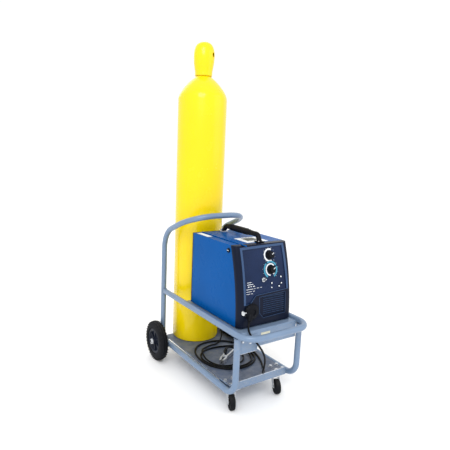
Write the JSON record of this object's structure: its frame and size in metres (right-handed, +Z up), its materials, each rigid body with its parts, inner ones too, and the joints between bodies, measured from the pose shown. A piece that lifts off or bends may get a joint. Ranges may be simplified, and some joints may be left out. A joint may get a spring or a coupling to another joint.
{
  "type": "mig welder on cart",
  "caption": "Box-shaped wire-feed welder on the upper shelf of a tubular two-deck cart, with a tall gas cylinder standing behind it on the lower deck.",
  "frame": {"origin": "on the floor, under the middle of the footprint", "axes": "+Z up, +Y from the control panel towards the gas cylinder, +X to the right seen from the front"},
  "size_m": [0.452, 0.7807, 1.522],
  "materials": {
    "cart_paint": "smooth light blue-grey enamel",
    "deck_paint": "scuffed blue-grey enamel",
    "cylinder_paint": "glossy yellow enamel",
    "case_paint": "satin blue powder coat",
    "black_plastic": "fine textured black moulding",
    "panel_plastic": "dark blue-grey panel film",
    "tyre_rubber": "solid black rubber",
    "cable_rubber": "satin black cable jacket",
    "zinc": "bright zinc plate",
    "steel": "plain machined steel",
    "brass": "machined brass",
    "copper": "copper, a little dulled",
    "aluminium": "die cast aluminium",
    "board": "green circuit board"
  },
  "bodies": {
    "cart_and_case": {"side_rail_left": "cart_paint", "side_rail_right": "cart_paint", "handle_hoop": "cart_paint", "upper_rail": "cart_paint", "shelf_tray": "cart_paint", "gusset_plate": "cart_paint", "deck_tray": "deck_paint", "front_crossmember": "cart_paint", "rear_axle": "steel", "axle_cap_left": "zinc", "axle_cap_right": "zinc", "caster_plate_left": "zinc", "caster_plate_right": "zinc", "front_bezel": "black_plastic", "control_panel": "panel_plastic", "louvre_grille": "black_plastic", "power_switch_body": "zinc", "gun_connector": "black_plastic", "case_wrap": "case_paint", "base_pan": "case_paint", "rear_panel": "black_plastic", "power_cord_gland": "black_plastic", "work_cable_gland": "black_plastic", "carry_handle": "black_plastic", "centre_baffle": "zinc", "transformer": "copper", "fan_motor": "steel", "circuit_board": "board", "spool_hub": "black_plastic", "drive_motor": "steel", "drive_housing": "aluminium", "gun_handle": "black_plastic", "gun_nozzle": "copper", "clamp_jaw_fixed": "zinc", "gun_cable": "cable_rubber", "work_cable": "cable_rubber"},
    "rear_wheel_left": {"rear_tyre_left": "tyre_rubber", "rear_hub_left": "black_plastic"},
    "rear_wheel_right": {"rear_tyre_right": "tyre_rubber", "rear_hub_right": "black_plastic"},
    "caster_swivel_left": {"caster_fork_left": "zinc"},
    "caster_swivel_right": {"caster_fork_right": "zinc"},
    "caster_roller_left": {"caster_wheel_left": "tyre_rubber"},
    "caster_roller_right": {"caster_wheel_right": "tyre_rubber"},
    "cylinder": {"gas_cylinder": "cylinder_paint", "cylinder_valve": "brass"},
    "handwheel": {"valve_handwheel": "steel"},
    "cap": {"cylinder_cap": "cylinder_paint"},
    "door": {"side_door": "case_paint"},
    "latch": {"door_latch": "black_plastic"},
    "voltage_dial": {"voltage_knob": "black_plastic"},
    "wire_speed_dial": {"wire_speed_knob": "black_plastic"},
    "power_lever": {"power_switch_lever": "zinc"},
    "fan": {"fan_blade": "black_plastic"},
    "spool": {"wire_spool": "aluminium"},
    "feed_roll": {"drive_roll": "steel"},
    "tension_arm": {"pressure_arm": "black_plastic"},
    "tension_roll": {"pressure_roll": "steel"},
    "trigger": {"gun_trigger": "black_plastic"},
    "clamp_lever": {"clamp_jaw_moving": "zinc"}
  },
  "joints": [
    {"name": "rear_wheel_left_spin", "type": "hinge", "parent": "cart_and_case", "child": "rear_wheel_left", "pos_m": [-0.198, 0.302, 0.097], "axis": [1, 0, 0], "continuous": true},
    {"name": "rear_wheel_right_spin", "type": "hinge", "parent": "cart_and_case", "child": "rear_wheel_right", "pos_m": [0.198, 0.302, 0.097], "axis": [1, 0, 0], "continuous": true},
    {"name": "caster_left_swivel", "type": "hinge", "parent": "cart_and_case", "child": "caster_swivel_left", "pos_m": [-0.12, -0.222, 0.08], "axis": [0, 0, 1], "continuous": true},
    {"name": "caster_left_roll", "type": "hinge", "parent": "caster_swivel_left", "child": "caster_roller_left", "pos_m": [-0.12899, -0.24425, 0.03175], "axis": [0.9272, -0.3746, 0], "continuous": true},
    {"name": "caster_right_swivel", "type": "hinge", "parent": "cart_and_case", "child": "caster_swivel_right", "pos_m": [0.12, -0.222, 0.08], "axis": [0, 0, 1], "continuous": true},
    {"name": "caster_right_roll", "type": "hinge", "parent": "caster_swivel_right", "child": "caster_roller_right", "pos_m": [0.11101, -0.24425, 0.03175], "axis": [0.9272, -0.3746, 0], "continuous": true},
    {"name": "cylinder_lift", "type": "slide", "parent": "cart_and_case", "child": "cylinder", "axis": [0, 0, 1], "range_m": [0, 0.08]},
    {"name": "valve_turn", "type": "hinge", "parent": "cylinder", "child": "handwheel", "pos_m": [0, 0.268, 1.45], "axis": [0, 0, 1], "range_deg": [0, 720]},
    {"name": "cap_lift", "type": "slide", "parent": "cylinder", "child": "cap", "axis": [0, 0, 1], "range_m": [0, 0.16]},
    {"name": "side_door_hinge", "type": "hinge", "parent": "cart_and_case", "child": "door", "pos_m": [-0.09, 0, 0.6699], "axis": [0, 1, 0], "range_deg": [0, 85]},
    {"name": "door_latch_turn", "type": "hinge", "parent": "door", "child": "latch", "pos_m": [-0.13, -0.18, 0.646], "axis": [-1, 0, 0], "range_deg": [0, 90]},
    {"name": "voltage_dial_turn", "type": "hinge", "parent": "cart_and_case", "child": "voltage_dial", "pos_m": [0.036, -0.22946, 0.621], "axis": [0, -0.9623, 0.2718], "range_deg": [-135, 135]},
    {"name": "wire_speed_dial_turn", "type": "hinge", "parent": "cart_and_case", "child": "wire_speed_dial", "pos_m": [0.036, -0.24376, 0.564], "axis": [0, -0.9767, 0.2146], "range_deg": [-135, 135]},
    {"name": "power_lever_flip", "type": "hinge", "parent": "cart_and_case", "child": "power_lever", "pos_m": [-0.005, -0.25068, 0.528], "axis": [1, 0, 0], "range_deg": [0, 16]},
    {"name": "fan_spin", "type": "hinge", "parent": "cart_and_case", "child": "fan", "pos_m": [0.062, 0.082, 0.56], "axis": [0, 1, 0], "continuous": true},
    {"name": "spool_spin", "type": "hinge", "parent": "cart_and_case", "child": "spool", "pos_m": [-0.057, -0.014, 0.544], "axis": [1, 0, 0], "continuous": true},
    {"name": "feed_roll_spin", "type": "hinge", "parent": "cart_and_case", "child": "feed_roll", "pos_m": [-0.072, -0.178, 0.3941], "axis": [1, 0, 0], "continuous": true},
    {"name": "tension_arm_lift", "type": "hinge", "parent": "cart_and_case", "child": "tension_arm", "pos_m": [-0.06, -0.203, 0.43], "axis": [1, 0, 0], "range_deg": [0, 60]},
    {"name": "tension_roll_spin", "type": "hinge", "parent": "tension_arm", "child": "tension_roll", "pos_m": [-0.072, -0.178, 0.4274], "axis": [1, 0, 0], "continuous": true},
    {"name": "gun_trigger_pull", "type": "hinge", "parent": "cart_and_case", "child": "trigger", "pos_m": [0.13, 0.171, 0.1283], "axis": [1, 0, 0], "range_deg": [-9, 0], "stiffness_Nm_per_rad": 0.15, "springref_deg": 17.19},
    {"name": "clamp_open", "type": "hinge", "parent": "cart_and_case", "child": "clamp_lever", "pos_m": [-0.04145, -0.05739, 0.1193], "axis": [0, 0, 1], "range_deg": [0, 16], "stiffness_Nm_per_rad": 1.2, "springref_deg": -17.19}
  ],
  "couplings": [
    {"joint": "feed_roll_spin", "follows": "spool_spin", "ratio": -5},
    {"joint": "tension_roll_spin", "follows": "spool_spin", "ratio": 6.6}
  ]
}
